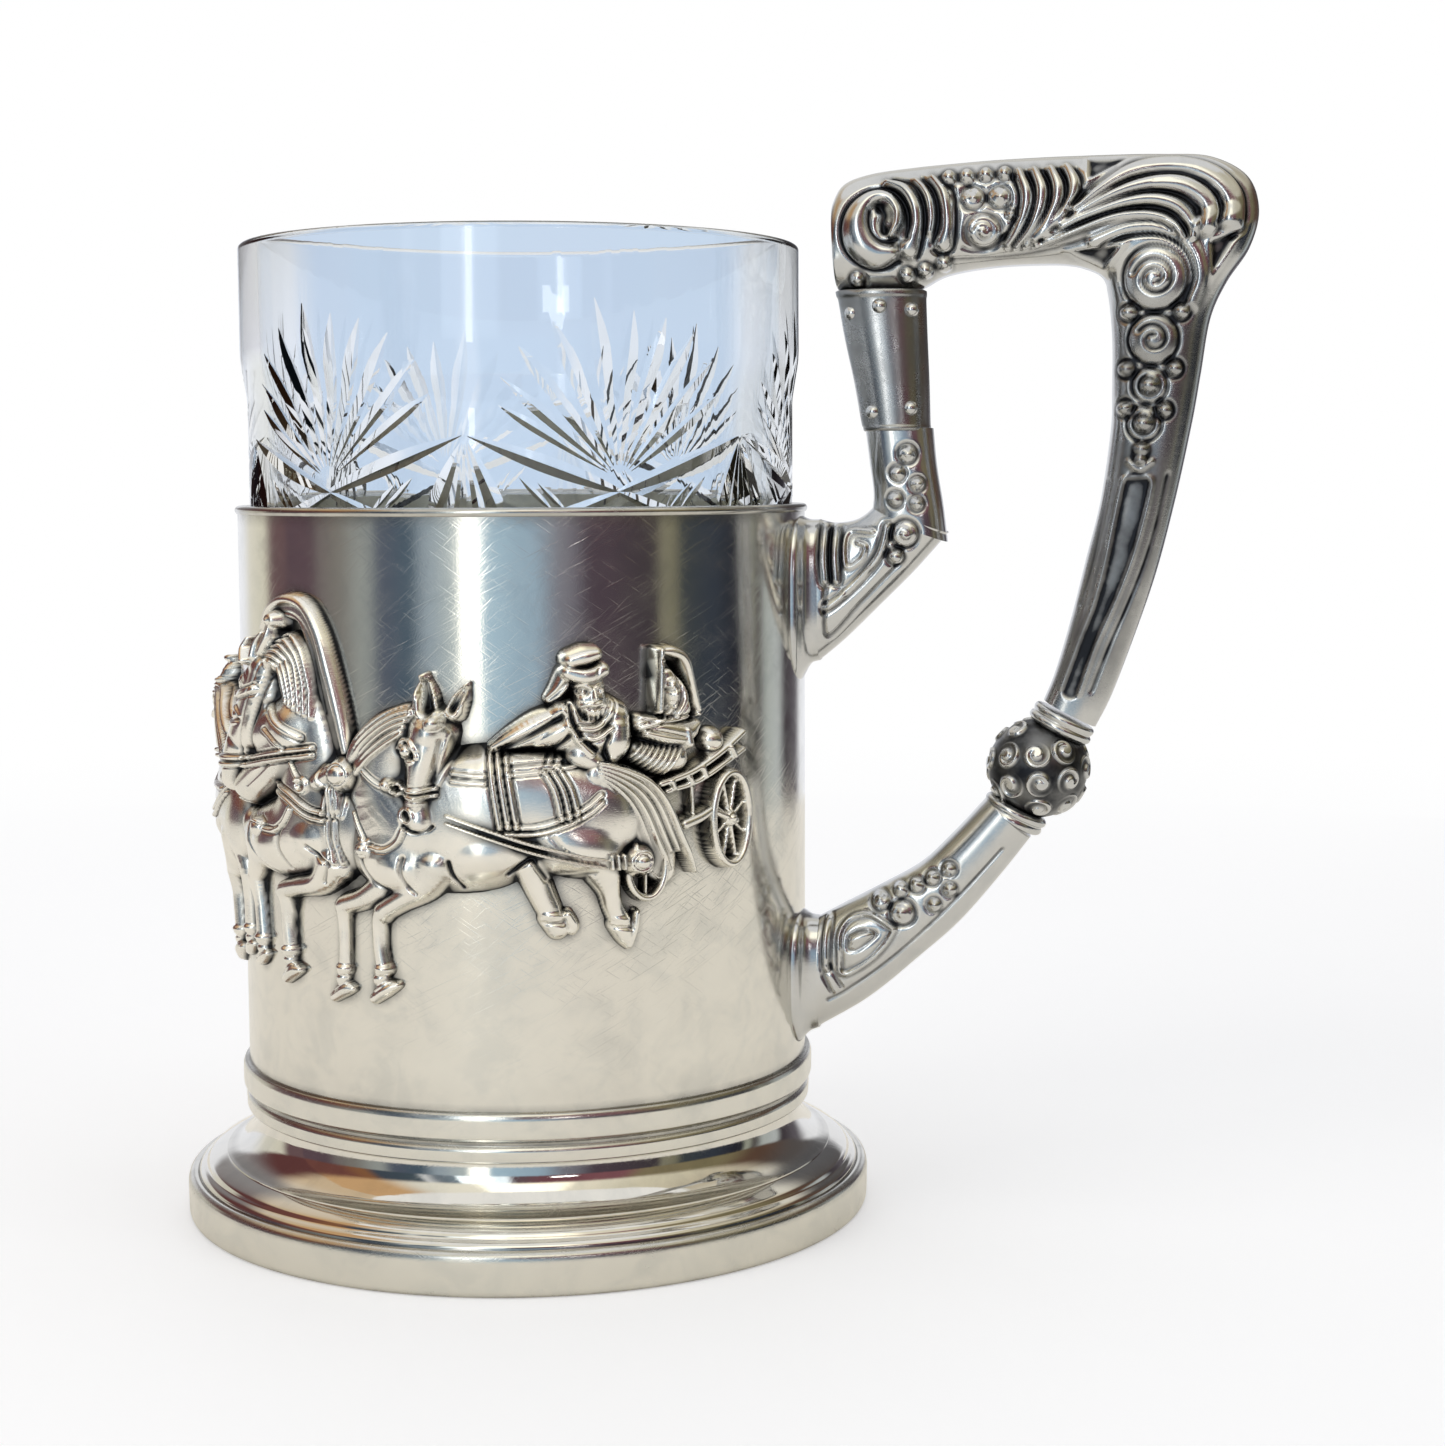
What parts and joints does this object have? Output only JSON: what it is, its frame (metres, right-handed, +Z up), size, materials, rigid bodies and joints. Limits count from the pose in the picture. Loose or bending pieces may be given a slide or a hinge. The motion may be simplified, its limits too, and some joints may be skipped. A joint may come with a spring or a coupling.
{
  "type": "tea glass holder",
  "caption": "Footed metal tea glass holder with a cast scrolled handle, a raised frieze of three horses and a carriage, and a lift-out cut-glass tumbler.",
  "frame": {"origin": "on the cup's axis, in the plane of the foot's underside", "axes": "+Z up along the cup's axis, +X out along the handle, -Y towards the middle of the frieze"},
  "size_m": [0.1314, 0.0852, 0.1276],
  "materials": {
    "polished_silver": "polished, finely scratched",
    "foot_silver": "worn satin",
    "cast_silver": "cast, dark in the recesses",
    "relief_silver": "chased, dark in the recesses",
    "cut_glass": "clear, deeply cut"
  },
  "bodies": {
    "holder": {"wall_shell": "polished_silver", "rim_bead": "polished_silver", "floor_plate": "foot_silver", "base_collar": "foot_silver", "foot_neck": "foot_silver", "foot_plate": "foot_silver", "foot_rim": "foot_silver", "upper_flange": "cast_silver", "upper_bracket": "cast_silver", "front_strut": "cast_silver", "strut_sleeve": "cast_silver", "sleeve_studs": "cast_silver", "top_bar": "cast_silver", "outer_arm": "cast_silver", "knop_collar_upper": "cast_silver", "knop": "cast_silver", "knop_collar_lower": "cast_silver", "lower_arm": "cast_silver", "lower_flange": "cast_silver", "near_horse": "relief_silver", "centre_horse": "relief_silver", "far_horse": "relief_silver", "shaft_bow": "relief_silver", "coachman": "relief_silver", "passenger": "relief_silver", "carriage_body": "relief_silver", "front_wheel": "relief_silver", "rear_wheel": "relief_silver", "carriage_shaft": "relief_silver"},
    "glass": {"tea_glass": "cut_glass"}
  },
  "joints": [
    {"name": "glass_lift", "type": "slide", "parent": "holder", "child": "glass", "axis": [0, 0, 1], "range_m": [0, 0.115]}
  ]
}
